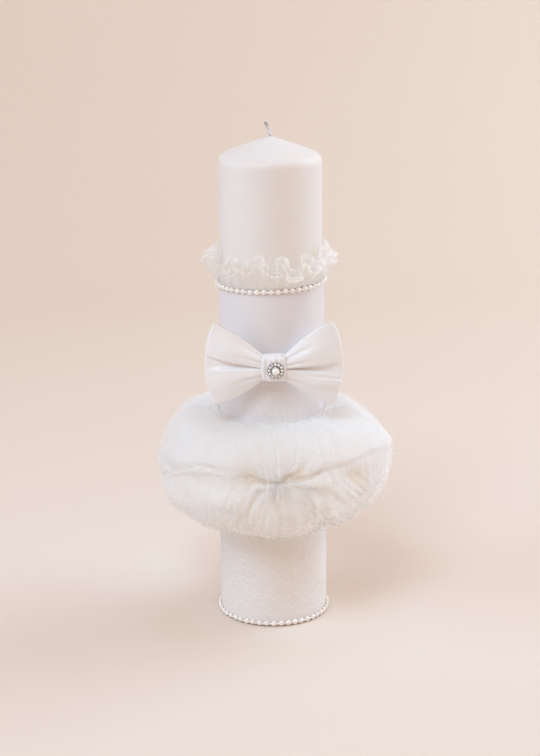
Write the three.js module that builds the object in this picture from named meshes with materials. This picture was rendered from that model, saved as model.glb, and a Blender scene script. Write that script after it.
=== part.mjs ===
// A wedding unity candle: a wax pillar dressed with a satin wrap, a lace wrap, a gathered tulle pouf,
// an organza ruffle, two pearl trims and a satin bow that carries a small rhinestone brooch.
// Units are millimetres and +Z is up. The origin is on the candle's axis, in the plane of its base.
// The bow faces -Y, and +X is on the right of someone who looks at it.

import * as THREE from "three";

// ---- Driving dimensions ----

const GAP = 0.3; // clearance kept between pieces that touch

const PILLAR = { radius: 35, height: 338, shoulderZ: 323.5, shoulderRound: 4, baseChamfer: 0.8 };
const WICK = { radius: 1, footZ: 0.8, leanX: -3, topZ: 347.6 };
const SUSTAINER = { radius: 7.6, plate: 0.5, liftZ: 0.5, collarRadius: 1.8, collarTopZ: 5.2 };

const SATIN = { thickness: 1.2, bottomZ: 0.5, topZ: 241 };
const LACE = { thickness: 1.1, bottomZ: 0.4, topZ: 88 };

const RUFFLE = { bottomZ: 241.4, footZ: 243.1, topZ: 267, footRadius: 40, widestRadius: 47.5 };
const PEARL = { radius: 1.95, depth: 1.95, count: 48, neck: 0.25 };
const TOP_TRIM = { z: 239.6, slope: 0.022 }; // it sits a little lower on the left
const BASE_TRIM = { z: 2.35, slope: 0 };

const POUF = { radius: 79, waistZ: 105, topZ: 149, hemZ: 70.5 };
const TIE = { thickness: 2.4, height: 4 };

const BOW = { centreX: 1.4, centreZ: 190, halfWidth: 46, thickness: 10, frontY: -48.5, round: 2.5 };
const WING = { cornerX: 39.5, topZ: 220.5, bottomZ: 164 };
const KNOT = { halfWidth: 8.5, height: 18.4, wall: 1.1, waistHeight: 13, corner: 3 };

const BROOCH = { x: 2.6, z: 190, radius: 5.9, plate: 1, rimWidth: 0.4, rimHeight: 2 };
const BROOCH_PEARL = { radius: 2.8, seatRadius: 2.5, seatHeight: 0.9 };
const STONE = { count: 12, circle: 4.3, girdle: 0.95, crown: 0.5, pavilion: 0.7 };

const ROUND = 48; // facets of the large round pieces

// ---- Sizes that follow from them ----

const satinInner = PILLAR.radius + GAP;
const satinOuter = satinInner + SATIN.thickness;
const laceInner = satinOuter + GAP;
const laceOuter = laceInner + LACE.thickness;
const boreRadius = WICK.radius + GAP;
const sustainerTopZ = SUSTAINER.liftZ + SUSTAINER.plate;
const bowBackY = BOW.frontY + BOW.thickness;
const knotFrontY = BOW.frontY - GAP - KNOT.wall;
const knotBackY = bowBackY + GAP + KNOT.wall;

// ---- Materials ----

function finish(color, roughness, metalness = 0) {
  return new THREE.MeshStandardMaterial({ color, roughness, metalness });
}

const wax = finish("#faf4ec", 0.42);
const cotton = finish("#e9e2d6", 0.9);
const tin = finish("#b9bcc0", 0.4, 1);
const satin = finish("#f4f1f2", 0.35);
const lace = finish("#f3ebe4", 0.85);
const organza = finish("#f7efe6", 0.3);
const tulle = finish("#f6f0eb", 0.9);
const pearl = finish("#f3eae0", 0.18);
const silver = finish("#8d8f96", 0.25, 1);
const crystal = finish("#eef2f7", 0.02);

// ---- Geometry helpers ----

// Turns a closed profile of [radius, height] pairs about +Z. The profile runs anticlockwise.
function turned(profile, facets = ROUND) {
  const points = profile.map(([radius, z]) => new THREE.Vector2(radius, z));
  return new THREE.LatheGeometry(points, facets).rotateX(Math.PI / 2);
}

// The profile of a sleeve: a rectangle that closes on itself.
function sleeveProfile(inner, outer, bottomZ, topZ) {
  return [
    [inner, bottomZ],
    [outer, bottomZ],
    [outer, topZ],
    [inner, topZ],
    [inner, bottomZ],
  ];
}

// Moves each vertex by a rule that takes and changes a Vector3.
function reshape(geometry, rule) {
  const position = geometry.getAttribute("position");
  const point = new THREE.Vector3();
  for (let i = 0; i < position.count; i++) {
    point.fromBufferAttribute(position, i);
    rule(point);
    position.setXYZ(i, point.x, point.y, point.z);
  }
  geometry.computeVertexNormals();
  return geometry;
}

function named(name, geometry, material) {
  const mesh = new THREE.Mesh(geometry, material);
  mesh.name = name;
  return mesh;
}

// ---- Candle ----

// The pillar has a rounded shoulder, a low cone, a bore for the wick and a recess for the sustainer.
function waxPillar() {
  const { radius, height, shoulderZ, shoulderRound, baseChamfer } = PILLAR;
  const recessRadius = SUSTAINER.radius + 0.4;
  const recessTopZ = sustainerTopZ + GAP;
  const collarRecess = SUSTAINER.collarRadius + GAP;
  const collarTopZ = SUSTAINER.collarTopZ + GAP;
  const coneAngle = Math.atan2(height - shoulderZ, radius - boreRadius);
  const profile = [
    [recessRadius, 0],
    [radius - baseChamfer, 0],
    [radius, baseChamfer],
  ];
  const shoulderSteps = 6;
  for (let i = 0; i <= shoulderSteps; i++) {
    const angle = (i / shoulderSteps) * (Math.PI / 2 - coneAngle);
    profile.push([
      radius - shoulderRound * (1 - Math.cos(angle)),
      shoulderZ - shoulderRound * (1 - Math.sin(angle)),
    ]);
  }
  profile.push(
    [boreRadius, height],
    [boreRadius, collarTopZ],
    [collarRecess, collarTopZ],
    [collarRecess, recessTopZ],
    [recessRadius, recessTopZ],
    [recessRadius, 0],
  );
  return named("wax_pillar", turned(profile), wax);
}

// One length of braided cotton from the sustainer to its free end, which leans over above the wax.
function wick() {
  const { radius, footZ, leanX, topZ } = WICK;
  const freeLength = topZ - PILLAR.height;
  const profile = [
    [0, footZ],
    [radius, footZ],
    [radius, PILLAR.height],
  ];
  const bendSteps = 5;
  for (let i = 1; i < bendSteps; i++) {
    profile.push([radius, PILLAR.height + (i / bendSteps) * (freeLength - 0.6)]);
  }
  profile.push([radius * 0.8, topZ], [0, topZ]);
  const geometry = reshape(turned(profile, 12), (point) => {
    const along = Math.max(0, point.z - PILLAR.height) / freeLength;
    point.x += leanX * along ** 1.3;
  });
  return named("wick", geometry, cotton);
}

// A tin disc with a crimped collar, which holds the wick's foot in the base of the wax.
function wickSustainer() {
  const { radius, liftZ, collarRadius, collarTopZ } = SUSTAINER;
  const profile = [
    [boreRadius, liftZ],
    [radius, liftZ],
    [radius, sustainerTopZ],
    [collarRadius, sustainerTopZ],
    [collarRadius, collarTopZ],
    [boreRadius, collarTopZ],
    [boreRadius, liftZ],
  ];
  return named("wick_sustainer", turned(profile, 36), tin);
}

// ---- Wraps and trims ----

function satinWrap() {
  const profile = sleeveProfile(satinInner, satinOuter, SATIN.bottomZ, SATIN.topZ);
  return named("satin_wrap", turned(profile), satin);
}

function laceWrap() {
  const profile = sleeveProfile(laceInner, laceOuter, LACE.bottomZ, LACE.topZ);
  return named("lace_wrap", turned(profile), lace);
}

// The space of the gathered organza: it stands on the satin's top edge and flares out over the pearls.
function organzaRuffle() {
  const { bottomZ, footZ, topZ, footRadius, widestRadius } = RUFFLE;
  const height = topZ - bottomZ;
  const profile = [
    [satinInner, bottomZ],
    [satinOuter, bottomZ],
    [satinOuter, footZ],
    [footRadius, footZ],
    [widestRadius - 1.5, bottomZ + 0.22 * height],
    [widestRadius, bottomZ + 0.45 * height],
    [widestRadius, bottomZ + 0.72 * height],
    [widestRadius - 2, topZ],
    [widestRadius - 7, topZ],
    [satinInner + 1.5, bottomZ + 0.6 * height],
    [satinInner, bottomZ],
  ];
  return named("organza_ruffle", turned(profile), organza);
}

// A string of flat-backed half pearls round a sleeve of the given radius: a ring whose section
// swells at every pearl and narrows to the thread between them.
function pearlTrim(name, sleeveRadius, { z, slope }) {
  const { radius, depth, count, neck } = PEARL;
  const stepsPerPearl = 4;
  const ringRadius = sleeveRadius + GAP + depth / 2;
  const ring = new THREE.TorusGeometry(ringRadius, radius, 6, count * stepsPerPearl);
  const geometry = reshape(ring, (point) => {
    const angle = Math.atan2(point.y, point.x);
    const swell = Math.max(neck, Math.sqrt(Math.abs(Math.cos((angle * count) / 2))));
    const outwards = Math.hypot(point.x, point.y) - ringRadius;
    const reach = ringRadius + (outwards * swell * depth) / (2 * radius);
    point.x = reach * Math.cos(angle);
    point.y = reach * Math.sin(angle);
    point.z = z + slope * point.x + point.z * swell;
  });
  return named(name, geometry, pearl);
}

// ---- Tulle pouf ----

// The space of the strips that are combed upwards, from the tied waist to the candle above it.
function upperPuff() {
  const { radius, waistZ, topZ } = POUF;
  const inner = laceOuter + 0.8;
  const tieOuter = inner + TIE.thickness + 1;
  const profile = [
    [tieOuter, waistZ + 0.4],
    [radius - 1, waistZ + 0.4],
    [radius - 0.6, waistZ + 6],
    [radius - 3, waistZ + 17],
    [radius - 9, waistZ + 29],
    [radius - 18, waistZ + 38.5],
    [radius - 28, topZ - 1],
    [inner + 6, topZ],
    [inner, topZ - 2],
    [inner, waistZ + TIE.height],
    [tieOuter, waistZ + 0.4],
  ];
  return named("tulle_upper_puff", turned(profile), tulle);
}

// The space of the strips that are combed downwards, from the tied waist to the hem.
function lowerPuff() {
  const { radius, waistZ, hemZ } = POUF;
  const inner = laceOuter + 0.8;
  const tieOuter = inner + TIE.thickness + 1;
  const profile = [
    [inner, waistZ - TIE.height],
    [inner, hemZ + 12],
    [inner + 9, hemZ],
    [radius - 24, hemZ],
    [radius - 16, hemZ + 4],
    [radius - 8, hemZ + 11],
    [radius - 2.5, hemZ + 20],
    [radius, waistZ - 5],
    [radius - 0.5, waistZ - 0.4],
    [tieOuter, waistZ - 0.4],
    [inner, waistZ - TIE.height],
  ];
  return named("tulle_lower_puff", turned(profile), tulle);
}

// The gathering tie that holds the middle of every strip to the candle.
function gatherTie() {
  const inner = laceOuter + 0.5;
  const outer = inner + TIE.thickness;
  const halfHeight = TIE.height / 2;
  const profile = [
    [inner, POUF.waistZ - halfHeight],
    [outer, POUF.waistZ],
    [inner, POUF.waistZ + halfHeight],
    [inner, POUF.waistZ - halfHeight],
  ];
  return named("tulle_gather_tie", turned(profile, 48), tulle);
}

// ---- Bow ----

// One side of the bow's outline, from the top of the waist round the wing to the bottom of it.
function wingOutline(outline, side) {
  const waistX = BOW.centreX + side * (KNOT.halfWidth + GAP);
  const waistTopZ = BOW.centreZ + KNOT.waistHeight / 2;
  const waistBottomZ = BOW.centreZ - KNOT.waistHeight / 2;
  const cornerX = BOW.centreX + side * WING.cornerX;
  const bulgeX = BOW.centreX + side * (2 * BOW.halfWidth - WING.cornerX);
  const corners = [
    [waistX, waistTopZ],
    [cornerX, WING.topZ],
    [cornerX, WING.bottomZ],
    [waistX, waistBottomZ],
  ];
  const fromTop = side > 0 ? corners : corners.reverse();
  outline.lineTo(...fromTop[0]);
  outline.lineTo(...fromTop[1]);
  outline.quadraticCurveTo(bulgeX, BOW.centreZ, ...fromTop[2]);
  outline.lineTo(...fromTop[3]);
}

// The folded ribbon: both loops are one length of satin, drawn in at the waist by the knot band.
function bowLoops() {
  const outline = new THREE.Shape();
  outline.moveTo(BOW.centreX, BOW.centreZ + KNOT.waistHeight / 2);
  wingOutline(outline, 1);
  wingOutline(outline, -1);
  outline.closePath();
  const geometry = new THREE.ExtrudeGeometry(outline, {
    depth: BOW.thickness - 2 * BOW.round,
    curveSegments: 12,
    bevelSize: BOW.round,
    bevelOffset: -BOW.round,
    bevelThickness: BOW.round,
    bevelSegments: 2,
  });
  geometry.rotateX(Math.PI / 2).translate(0, bowBackY - BOW.round, 0);
  return named("bow_loops", geometry, satin);
}

function roundedRectangle(path, left, right, bottom, top, corner) {
  path.moveTo(left + corner, bottom);
  path.lineTo(right - corner, bottom);
  path.absarc(right - corner, bottom + corner, corner, -Math.PI / 2, 0);
  path.lineTo(right, top - corner);
  path.absarc(right - corner, top - corner, corner, 0, Math.PI / 2);
  path.lineTo(left + corner, top);
  path.absarc(left + corner, top - corner, corner, Math.PI / 2, Math.PI);
  path.lineTo(left, bottom + corner);
  path.absarc(left + corner, bottom + corner, corner, Math.PI, 1.5 * Math.PI);
  return path;
}

// The band that wraps the waist of the loops: a loop of satin whose axis is along X.
function bowKnot() {
  const halfHeight = KNOT.height / 2;
  const halfWaist = KNOT.waistHeight / 2 + GAP;
  const band = roundedRectangle(
    new THREE.Shape(),
    knotFrontY,
    knotBackY,
    BOW.centreZ - halfHeight,
    BOW.centreZ + halfHeight,
    KNOT.corner,
  );
  const passage = roundedRectangle(
    new THREE.Path(),
    BOW.frontY - GAP,
    bowBackY + GAP,
    BOW.centreZ - halfWaist,
    BOW.centreZ + halfWaist,
    0.4,
  );
  band.holes.push(passage);
  const geometry = new THREE.ExtrudeGeometry(band, {
    depth: 2 * KNOT.halfWidth,
    curveSegments: 4,
    bevelEnabled: false,
  });
  // The outline's first axis is Y, its second is Z, and the band's width is along X.
  geometry.applyMatrix4(
    new THREE.Matrix4().makeBasis(
      new THREE.Vector3(0, 1, 0),
      new THREE.Vector3(0, 0, 1),
      new THREE.Vector3(1, 0, 0),
    ),
  );
  geometry.translate(BOW.centreX - KNOT.halfWidth, 0, 0);
  return named("bow_knot", geometry, satin);
}

// ---- Brooch, built with its face along +Z ----

// A plate with a rim round the stones and a low seat under the pearl.
function broochSetting() {
  const { radius, plate, rimWidth, rimHeight } = BROOCH;
  const { seatRadius, seatHeight } = BROOCH_PEARL;
  const profile = [
    [0, 0],
    [radius, 0],
    [radius, rimHeight],
    [radius - rimWidth, rimHeight],
    [radius - rimWidth, plate],
    [seatRadius, plate],
    [seatRadius, plate + seatHeight],
    [seatRadius - 0.45, plate + seatHeight],
    [seatRadius - 0.45, plate],
    [0, plate],
  ];
  return named("brooch_setting", turned(profile, 36), silver);
}

function broochPearl() {
  const mesh = named(
    "brooch_pearl",
    new THREE.SphereGeometry(BROOCH_PEARL.radius, 20, 12),
    pearl,
  );
  mesh.position.z = BROOCH.plate + GAP + BROOCH_PEARL.radius;
  return mesh;
}

// A round cut stone: a flat table and crown above the girdle, and a pointed pavilion below it.
function rhinestone(index) {
  const { count, circle, girdle, crown, pavilion } = STONE;
  const profile = [
    [0, -pavilion],
    [girdle, 0],
    [girdle, 0.15],
    [girdle * 0.6, crown],
    [0, crown],
  ];
  const name = `rhinestone_${String(index + 1).padStart(2, "0")}`;
  const mesh = named(name, turned(profile, 8), crystal);
  const angle = (index / count) * 2 * Math.PI;
  mesh.position.set(
    circle * Math.cos(angle),
    circle * Math.sin(angle),
    BROOCH.plate + GAP + pavilion,
  );
  return mesh;
}

function brooch() {
  const group = new THREE.Group();
  group.add(broochSetting(), broochPearl());
  for (let i = 0; i < STONE.count; i++) {
    group.add(rhinestone(i));
  }
  group.rotation.x = Math.PI / 2; // the face turns from +Z to -Y
  group.position.set(BROOCH.x, knotFrontY - GAP, BROOCH.z);
  return group;
}

// ---- Assembly ----

const candle = new THREE.Group();
candle.add(waxPillar(), wick(), wickSustainer());

const wraps = new THREE.Group();
wraps.add(satinWrap(), laceWrap(), organzaRuffle());
wraps.add(pearlTrim("top_pearl_trim", satinOuter, TOP_TRIM));
wraps.add(pearlTrim("base_pearl_trim", laceOuter, BASE_TRIM));

const pouf = new THREE.Group();
pouf.add(upperPuff(), lowerPuff(), gatherTie());

const bow = new THREE.Group();
bow.add(bowLoops(), bowKnot(), brooch());

const unityCandle = new THREE.Group();
unityCandle.add(candle, wraps, pouf, bow);

export default unityCandle;
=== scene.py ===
"""Looks of a dressed unity candle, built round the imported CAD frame.

Shapes are worked out in millimetres in the frame's own axes and go to the meshes in metres. The bow faces
-Y. An angle round the candle is counted from the front and grows towards +X, so 90 degrees is on the right.
"""

import math

import bpy
import numpy as np
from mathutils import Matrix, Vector


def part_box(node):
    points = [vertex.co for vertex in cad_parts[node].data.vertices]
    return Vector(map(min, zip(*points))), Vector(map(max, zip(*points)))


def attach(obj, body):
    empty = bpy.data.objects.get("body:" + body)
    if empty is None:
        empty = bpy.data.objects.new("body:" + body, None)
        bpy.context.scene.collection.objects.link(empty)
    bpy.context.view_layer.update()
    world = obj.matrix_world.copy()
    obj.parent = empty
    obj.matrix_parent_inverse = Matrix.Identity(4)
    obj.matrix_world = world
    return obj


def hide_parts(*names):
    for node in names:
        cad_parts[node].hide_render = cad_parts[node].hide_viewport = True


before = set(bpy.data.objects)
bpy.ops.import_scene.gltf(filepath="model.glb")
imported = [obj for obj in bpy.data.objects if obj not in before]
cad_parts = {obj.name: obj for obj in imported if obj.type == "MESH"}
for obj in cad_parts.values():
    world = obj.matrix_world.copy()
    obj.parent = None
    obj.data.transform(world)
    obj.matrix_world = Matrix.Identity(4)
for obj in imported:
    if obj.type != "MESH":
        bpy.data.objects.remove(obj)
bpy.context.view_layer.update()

MM = 0.001
FULL_TURN = 2 * np.pi


# ---- Sizes taken from the frame, in millimetres ----


def box_mm(node):
    low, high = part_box(node)
    return np.array(low) / MM, np.array(high) / MM


def outer_radius(node):
    low, high = box_mm(node)
    return max(high[0], -low[0])


WAX_RADIUS = outer_radius("wax_pillar")
WAX_TOP = box_mm("wax_pillar")[1][2]
WICK_LOW, WICK_HIGH = box_mm("wick")
WICK_RADIUS = WICK_HIGH[1]
WICK_LEAN = WICK_LOW[0] + WICK_RADIUS
SATIN_RADIUS = outer_radius("satin_wrap")
SATIN_BOTTOM, SATIN_TOP = (corner[2] for corner in box_mm("satin_wrap"))
LACE_RADIUS = outer_radius("lace_wrap")
LACE_BOTTOM, LACE_TOP = (corner[2] for corner in box_mm("lace_wrap"))
TOP_TRIM_LOW, TOP_TRIM_HIGH = box_mm("top_pearl_trim")
BASE_TRIM_LOW, BASE_TRIM_HIGH = box_mm("base_pearl_trim")
PEARL_COUNT = 48
BASE_TRIM_HEIGHT = BASE_TRIM_HIGH[2] - BASE_TRIM_LOW[2]
PEARL_RADIUS = BASE_TRIM_HEIGHT / 2 * 1.18
# The top trim is tilted, which makes its box taller than the base trim's.
TRIM_SLOPE = (TOP_TRIM_HIGH[2] - TOP_TRIM_LOW[2] - BASE_TRIM_HEIGHT) / (2 * TOP_TRIM_HIGH[0])
TIE_LOW, TIE_HIGH = box_mm("tulle_gather_tie")
TIE_Z = (TIE_LOW[2] + TIE_HIGH[2]) / 2
POUF_RADIUS = outer_radius("tulle_lower_puff")
POUF_TOP = box_mm("tulle_upper_puff")[1][2]
POUF_HEM = box_mm("tulle_lower_puff")[0][2]
BOW_LOW, BOW_HIGH = box_mm("bow_loops")
BOW_X = (BOW_LOW[0] + BOW_HIGH[0]) / 2
KNOT_LOW, KNOT_HIGH = box_mm("bow_knot")
KNOT_CENTRE = (KNOT_LOW + KNOT_HIGH) / 2
SETTING_LOW, SETTING_HIGH = box_mm("brooch_setting")
BROOCH_CENTRE = (SETTING_LOW + SETTING_HIGH) / 2
BROOCH_BACK = SETTING_HIGH[1]
BROOCH_RADIUS = (SETTING_HIGH[0] - SETTING_LOW[0]) / 2
BROOCH_PEARL_LOW, BROOCH_PEARL_HIGH = box_mm("brooch_pearl")


# ---- Camera ----

LENS_MM = 85
SENSOR_MM = 36
CAMERA_X = -0.0012
CAMERA_DISTANCE = 1.187
CAMERA_HEIGHT = 0.517
CAMERA_PITCH = math.radians(16.3)
CAMERA_ROLL = math.radians(-0.55)


def add_camera():
    data = bpy.data.cameras.new("camera")
    data.lens = LENS_MM
    data.sensor_width = SENSOR_MM
    camera = bpy.data.objects.new("camera", data)
    camera.location = (CAMERA_X, -CAMERA_DISTANCE, CAMERA_HEIGHT)
    camera.rotation_mode = "XYZ"
    camera.rotation_euler = (math.radians(90) - CAMERA_PITCH, 0, 0)
    camera.rotation_euler.rotate_axis("Z", CAMERA_ROLL)
    bpy.context.scene.collection.objects.link(camera)
    bpy.context.scene.camera = camera


add_camera()


# ---- Arrays: rings, noise and curves ----


def ring_angles(count):
    return np.arange(count) / count * FULL_TURN


def ring_points(radius, angle, z):
    """Points at a radius and an angle from the front, as an array whose last axis is x, y, z."""
    x = radius * np.sin(angle)
    y = -radius * np.cos(angle)
    return np.stack(np.broadcast_arrays(x, y, z), axis=-1)


def ease(t):
    return t * t * t * (t * (6 * t - 15) + 10)


def ring_noise(angle, along, cells, rows, seed):
    """Smooth noise from -1 to 1 that closes round the ring: cells round it, rows along the sheet."""
    table = np.random.default_rng(seed).uniform(-1, 1, (rows + 2, cells))
    x = (angle / FULL_TURN) % 1 * cells
    y = np.clip(along, 0, 1) * rows
    x, y = np.broadcast_arrays(x, y)
    column = np.floor(x).astype(int)
    row = np.floor(y).astype(int)
    across = ease(x - column)
    up = ease(y - row)
    left = column % cells
    right = (column + 1) % cells
    low = table[row, left] * (1 - across) + table[row, right] * across
    high = table[row + 1, left] * (1 - across) + table[row + 1, right] * across
    return low * (1 - up) + high * up


def hump(value, centre, width):
    return np.exp(-(((value - centre) / width) ** 2))


def ridges(noise):
    """Turns smooth noise into folds with sharp valleys and round crests."""
    return 1.6 * np.abs(noise) - 0.8


def eased(x, stops, values):
    """Values that pass smoothly through the given stops."""
    stops, values = np.asarray(stops, float), np.asarray(values, float)
    index = np.clip(np.searchsorted(stops, x, side="right") - 1, 0, len(stops) - 2)
    t = np.clip((x - stops[index]) / (stops[index + 1] - stops[index]), 0, 1)
    t = t * t * (3 - 2 * t)
    return values[index] * (1 - t) + values[index + 1] * t


def round_keys(angle, keys):
    """Smooth values round the ring, from a dictionary of degrees and values."""
    stops = np.radians(sorted(keys))
    values = [keys[degrees] for degrees in sorted(keys)]
    wrapped = (angle - stops[0]) % FULL_TURN + stops[0]
    return eased(wrapped, [*stops, stops[0] + FULL_TURN], [*values, values[0]])


def spline(points, s):
    """A Catmull-Rom curve through points[k], at s from 0 to 1, for points of any further shape."""
    points = np.asarray(points, float)
    padded = np.concatenate([2 * points[:1] - points[1:2], points, 2 * points[-1:] - points[-2:-1]])
    spans = len(points) - 1
    position = np.clip(s, 0, 1) * spans
    index = np.minimum(np.floor(position).astype(int), spans - 1)
    t = (position - index).reshape((-1,) + (1,) * (points.ndim - 1))
    p0, p1, p2, p3 = (padded[index + k] for k in range(4))
    return 0.5 * (
        2 * p1
        + (p2 - p0) * t
        + (2 * p0 - 5 * p1 + 4 * p2 - p3) * t**2
        + (3 * p1 - p0 - 3 * p2 + p3) * t**3
    )


# ---- Meshes ----


def new_object(name, vertices, faces, material, smooth=True):
    mesh = bpy.data.meshes.new(name)
    mesh.from_pydata((np.asarray(vertices, float).reshape(-1, 3) * MM).tolist(), [], faces)
    mesh.validate()
    mesh.polygons.foreach_set("use_smooth", [smooth] * len(mesh.polygons))
    mesh.materials.append(material)
    obj = bpy.data.objects.new(name, mesh)
    bpy.context.scene.collection.objects.link(obj)
    return obj


def grid_quads(rows, columns, closed=False, closed_rows=False):
    """The quads of a grid of vertices; a closed grid joins its last column to its first."""
    i = np.arange(rows if closed_rows else rows - 1)[:, None]
    j = np.arange(columns if closed else columns - 1)[None, :]
    i_next = (i + 1) % rows
    j_next = (j + 1) % columns
    corners = [i * columns + j, i * columns + j_next, i_next * columns + j_next, i_next * columns + j]
    return np.stack(np.broadcast_arrays(*corners), axis=-1).reshape(-1, 4)


def grid_object(name, points, material, closed=False, closed_rows=False, size=(1, 1)):
    """A sheet from an array of rows x columns x 3, with a UV map that measures size in millimetres."""
    rows, columns = points.shape[:2]
    quads = grid_quads(rows, columns, closed, closed_rows)
    obj = new_object(name, points, quads.tolist(), material)
    row_spans = rows if closed_rows else rows - 1
    column_spans = columns if closed else columns - 1
    i, j = np.meshgrid(np.arange(row_spans), np.arange(column_spans), indexing="ij")
    u = np.stack([j, j + 1, j + 1, j], axis=-1) / column_spans * size[0] * MM
    v = np.stack([i, i, i + 1, i + 1], axis=-1) / row_spans * size[1] * MM
    layer = obj.data.uv_layers.new(name="cloth")
    if len(layer.data) == u.size:
        layer.data.foreach_set("uv", np.stack([u, v], axis=-1).ravel())
    return obj


def turned(name, profile, material, segments):
    """Turns a profile of (radius, z) points, bottom to top on its outer side, into a closed solid."""
    profile = np.asarray(profile, float)
    points = ring_points(profile[:, None, 0], ring_angles(segments)[None, :], profile[:, None, 1])
    return grid_object(name, points, material, closed=True, closed_rows=True)


def on_circle(radius, angle, z):
    """Points round the z axis, counted from +x, as an array whose last axis is x, y, z."""
    return np.stack(np.broadcast_arrays(radius * np.cos(angle), radius * np.sin(angle), z), axis=-1)


def lathe_parts(profile, segments):
    """Vertices and faces of a turned solid whose profile starts and ends on the axis."""
    inner = np.asarray(profile[1:-1], float)
    ring = on_circle(inner[:, :1], ring_angles(segments), inner[:, 1:2]).reshape(-1, 3)
    vertices = np.vstack([ring, [[0, 0, profile[0][1]], [0, 0, profile[-1][1]]]])
    faces = grid_quads(len(inner), segments, closed=True).tolist()
    first, last, top = len(ring), len(ring) + 1, len(ring) - segments
    for k in range(segments):
        k_next = (k + 1) % segments
        faces += [[k_next, k, first], [top + k, top + k_next, last]]
    return vertices, faces


def tube_parts(path, radius, sides=10, closed=False):
    """Vertices and quads of a tube along a path of points; radius may change along it."""
    path = np.asarray(path, float)
    if closed:
        tangent = np.roll(path, -1, 0) - np.roll(path, 1, 0)
    else:
        tangent = np.gradient(path, axis=0)
    tangent /= np.linalg.norm(tangent, axis=1, keepdims=True)
    helper = np.where(np.abs(tangent[:, 2:3]) < 0.9, [[0.0, 0, 1]], [[1.0, 0, 0]])
    side = np.cross(helper, tangent)
    side /= np.linalg.norm(side, axis=1, keepdims=True)
    up = np.cross(tangent, side)
    turn = ring_angles(sides)
    radius = np.broadcast_to(radius, len(path))[:, None, None]
    offset = np.cos(turn)[None, :, None] * side[:, None] + np.sin(turn)[None, :, None] * up[:, None]
    vertices = path[:, None] + radius * offset
    faces = grid_quads(len(path), sides, closed=True, closed_rows=closed).tolist()
    if not closed:
        last = (len(path) - 1) * sides
        faces.append(list(range(sides))[::-1])
        faces.append([last + k for k in range(sides)])
    return vertices.reshape(-1, 3), faces


def joined(parts):
    """Joins (vertices, faces) pairs into one pair."""
    vertices, faces, offset = [], [], 0
    for part_vertices, part_faces in parts:
        vertices.append(part_vertices)
        faces += [[offset + k for k in face] for face in part_faces]
        offset += len(part_vertices)
    return np.concatenate(vertices), faces


def solidify(obj, thickness):
    modifier = obj.modifiers.new("thickness", "SOLIDIFY")
    modifier.thickness = thickness * MM
    modifier.offset = 0.0


def point_attribute(obj, name, values):
    attribute = obj.data.attributes.new(name, "FLOAT", "POINT")
    attribute.data.foreach_set("value", values.ravel().astype(np.float32))


def finish_piece(obj, slot, *nodes):
    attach(obj, "root")
    if nodes:
        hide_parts(*nodes)


def joined_piece(name, parts, material, slot, node):
    """One object from (vertices, faces) pairs, in place of one node."""
    obj = new_object(name, *joined(parts), material)
    finish_piece(obj, slot, node)
    return obj


# ---- Materials ----


class Shader:
    """One material and its node tree. An input given as a socket is linked, and a value is set."""

    def __init__(self, name):
        self.material = bpy.data.materials.new(name)
        self.material.use_nodes = True
        self.tree = self.material.node_tree
        self.tree.nodes.clear()

    def add(self, kind, inputs=None, output=0, **settings):
        node = self.tree.nodes.new("ShaderNode" + kind)
        for key, value in settings.items():
            setattr(node, key, value)
        for key, value in (inputs or {}).items():
            if isinstance(value, bpy.types.NodeSocket):
                self.tree.links.new(value, node.inputs[key])
            else:
                node.inputs[key].default_value = value
        return node.outputs[output] if node.outputs else node

    def noise(self, wavelength, detail=2.0, vector=None, roughness=0.5, distortion=0.0):
        """Noise whose features are about a wavelength apart, in millimetres."""
        inputs = {"Vector": vector or self.place(), "Scale": 1 / (wavelength * MM), "Detail": detail}
        return self.add("TexNoise", {**inputs, "Roughness": roughness, "Distortion": distortion})

    def place(self):
        return self.add("TexCoord", output=3)

    def cloth(self):
        """The cloth's own coordinates, in metres along and across the weave."""
        return self.add("UVMap", uv_map="cloth")

    def math(self, operation, a, b=0.0, clamp=False):
        return self.add("Math", {0: a, 1: b}, operation=operation, use_clamp=clamp)

    def span(self, value, low, high, to_low=0.0, to_high=1.0):
        inputs = {"Value": value, 1: low, 2: high, 3: to_low, 4: to_high}
        return self.add("MapRange", inputs)

    def mix_colour(self, factor, a, b):
        return self.add("Mix", {0: factor, 6: a, 7: b}, output=2, data_type="RGBA")

    def bump(self, height, distance, strength=1.0, normal=None):
        inputs = {"Height": height, "Distance": distance * MM, "Strength": strength}
        if normal is not None:
            inputs["Normal"] = normal
        return self.add("Bump", inputs)

    def attribute(self, name):
        return self.add("Attribute", output=2, attribute_name=name)

    def axis(self, vector, index):
        """One of a vector's three coordinates."""
        return self.add("SeparateXYZ", {0: vector}).node.outputs[index]

    def threads(self, pitch_u, pitch_v):
        """Two sets of crossing threads along the cloth's own coordinates, from -0.5 to 0.5."""
        waves = []
        for index, pitch in enumerate((pitch_u, pitch_v)):
            turns = self.math("MULTIPLY", self.axis(self.cloth(), index), FULL_TURN / (pitch * MM))
            waves.append(self.math("SINE", turns))
        return self.math("MULTIPLY", self.math("ADD", *waves), 0.25)

    def finish(self, surface):
        self.add("OutputMaterial", {"Surface": surface})
        return self.material

    def principled(self, inputs):
        """Finishes the material with one Principled BSDF."""
        return self.finish(self.add("BsdfPrincipled", inputs))


def colour(red, green, blue):
    return (red, green, blue, 1.0)


def wax_material():
    s = Shader("candle_wax")
    cloudy = s.noise(38, detail=4)
    frost = s.noise(3.2, detail=5, roughness=0.7)
    return s.principled({
        "Base Color": s.mix_colour(cloudy, colour(0.80, 0.765, 0.74), colour(0.825, 0.795, 0.775)),
        "Roughness": s.span(frost, 0.3, 0.7, 0.36, 0.5),
        "Subsurface Weight": 0.35,
        "Subsurface Radius": (1.0, 0.72, 0.5),
        "Subsurface Scale": 4 * MM,
        "IOR": 1.44,
        "Normal": s.bump(s.math("ADD", frost, cloudy), 0.12, 0.35),
    })


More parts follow.
